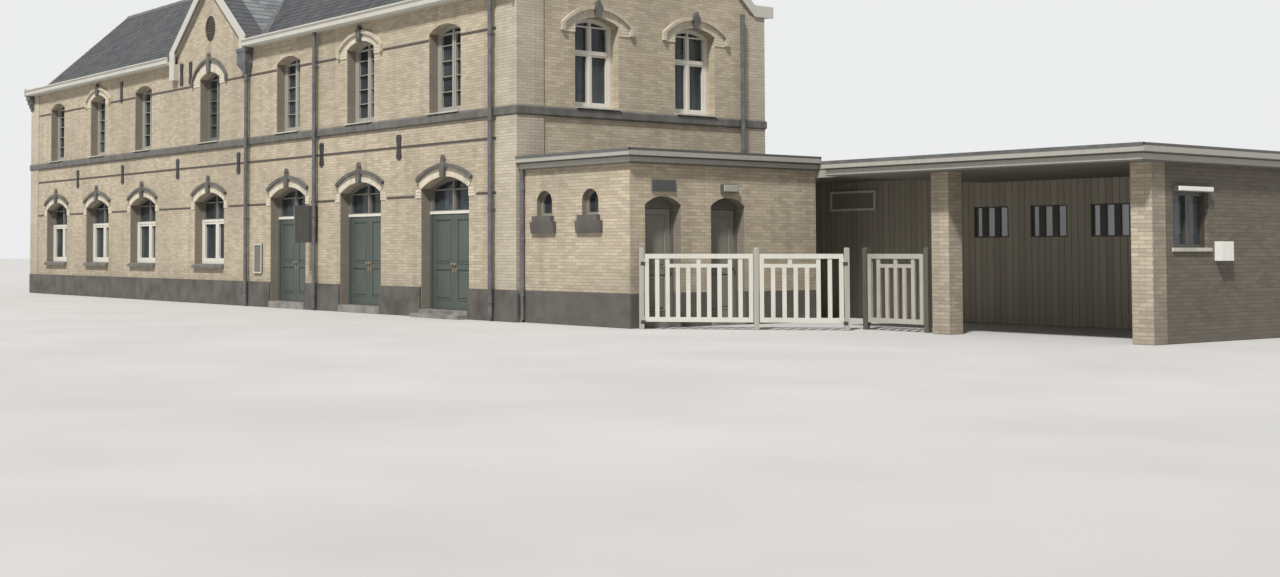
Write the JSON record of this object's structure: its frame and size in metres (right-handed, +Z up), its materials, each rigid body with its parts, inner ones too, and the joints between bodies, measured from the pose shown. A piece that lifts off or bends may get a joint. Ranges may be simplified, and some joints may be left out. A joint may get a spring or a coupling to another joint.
{
  "type": "railway station building with annex, gates and shelter",
  "caption": "Two-storey brick railway station building with a cross gable, low annex, timber gates and an open waiting shelter, with opening doors and gates.",
  "frame": {"origin": "front right corner of the main block, at ground level", "axes": "+X right along the front, +Y back into the building, +Z up"},
  "size_m": [38.65, 8.1, 9.6498],
  "materials": {
    "brick": "matt pale yellow-grey brick",
    "light_brick": "matt light brick",
    "dark_brick": "matt dark brick and stone",
    "dark_stone": "honed dark limestone",
    "sill_stone": "honed pale limestone",
    "plinth": "tarred and cemented base",
    "floor": "floor tiles",
    "timber_floor": "boards",
    "white_paint": "gloss paint on timber",
    "door_paint": "dark gloss paint on timber",
    "screen_paint": "dark stained boards",
    "board_paint": "enamel paint",
    "slate": "natural slate",
    "zinc": "weathered zinc",
    "iron": "black paint",
    "glass": "window glass"
  },
  "bodies": {
    "root": {"annex_end_walls": "brick", "annex_roof": "white_paint", "annex_side_head": "brick", "annex_side_piers": "brick", "annex_window_boxes": "dark_stone", "bargeboards": "white_paint", "corner_pilasters": "light_brick", "cross_gable_roof": "slate", "cross_gable_wall": "brick", "door_frames": "white_paint", "door_steps": "dark_stone", "downpipes": "zinc", "front_door_heads": "brick", "front_piers": "brick", "front_wall_lower": "brick", "front_wall_upper": "brick", "gate_posts": "white_paint", "ground_floors": "floor", "gutters": "white_paint", "hinges": "iron", "hood_moulds": "dark_stone", "left_end_wall": "brick", "main_roof_front": "slate", "main_roof_rear": "slate", "opening_arches": "light_brick", "passage_roof": "white_paint", "plinth": "plinth", "rear_doors": "door_paint", "rear_wall": "brick", "ridge_tiles": "slate", "right_end_wall": "brick", "screen_wall": "screen_paint", "shelter_piers": "light_brick", "shelter_roof": "white_paint", "shelter_side_wall": "brick", "string_course": "dark_brick", "upper_floor": "timber_floor", "wall_anchors": "iron", "wall_fittings": "board_paint", "window_frames": "white_paint", "window_glass": "glass", "window_sills": "sill_stone"},
    "left_door_a": {"left_door_leaf_a": "door_paint"},
    "left_door_b": {"left_door_leaf_b": "door_paint"},
    "middle_door_a": {"middle_door_leaf_a": "door_paint"},
    "middle_door_b": {"middle_door_leaf_b": "door_paint"},
    "right_door_a": {"right_door_leaf_a": "door_paint"},
    "right_door_b": {"right_door_leaf_b": "door_paint"},
    "annex_door_a": {"annex_door_leaf_a": "door_paint"},
    "annex_door_b": {"annex_door_leaf_b": "door_paint"},
    "large_gate": {"large_gate_leaf": "white_paint"},
    "middle_gate": {"middle_gate_leaf": "white_paint"},
    "small_gate": {"small_gate_leaf": "white_paint"}
  },
  "joints": [
    {"name": "left_door_a_swing", "type": "hinge", "parent": "root", "child": "left_door_a", "pos_m": [-10.045, 0.317, 0.168], "axis": [0, 0, 1], "range_deg": [0, 90]},
    {"name": "left_door_b_swing", "type": "hinge", "parent": "root", "child": "left_door_b", "pos_m": [-8.455, 0.317, 0.168], "axis": [0, 0, 1], "range_deg": [-90, 0]},
    {"name": "middle_door_a_swing", "type": "hinge", "parent": "root", "child": "middle_door_a", "pos_m": [-6.675, 0.317, 0.168], "axis": [0, 0, 1], "range_deg": [0, 90]},
    {"name": "middle_door_b_swing", "type": "hinge", "parent": "root", "child": "middle_door_b", "pos_m": [-5.085, 0.317, 0.168], "axis": [0, 0, 1], "range_deg": [-90, 0]},
    {"name": "right_door_a_swing", "type": "hinge", "parent": "root", "child": "right_door_a", "pos_m": [-3.305, 0.317, 0.168], "axis": [0, 0, 1], "range_deg": [0, 90]},
    {"name": "right_door_b_swing", "type": "hinge", "parent": "root", "child": "right_door_b", "pos_m": [-1.715, 0.317, 0.168], "axis": [0, 0, 1], "range_deg": [-90, 0]},
    {"name": "annex_door_a_swing", "type": "hinge", "parent": "root", "child": "annex_door_a", "pos_m": [2.898, 0.535, 0.108], "axis": [0, 0, 1], "range_deg": [0, 90]},
    {"name": "annex_door_b_swing", "type": "hinge", "parent": "root", "child": "annex_door_b", "pos_m": [2.898, 2.195, 0.108], "axis": [0, 0, 1], "range_deg": [0, 90]},
    {"name": "large_gate_swing", "type": "hinge", "parent": "root", "child": "large_gate", "pos_m": [3.43981, 0.25183, 0.13], "axis": [0, 0, 1], "range_deg": [-90, 0]},
    {"name": "middle_gate_swing", "type": "hinge", "parent": "root", "child": "middle_gate", "pos_m": [5.86139, 2.75945, 0.13], "axis": [0, 0, 1], "range_deg": [0, 90]},
    {"name": "small_gate_swing", "type": "hinge", "parent": "root", "child": "small_gate", "pos_m": [5.88, 3.442, 0.13], "axis": [0, 0, 1], "range_deg": [0, 90]}
  ]
}
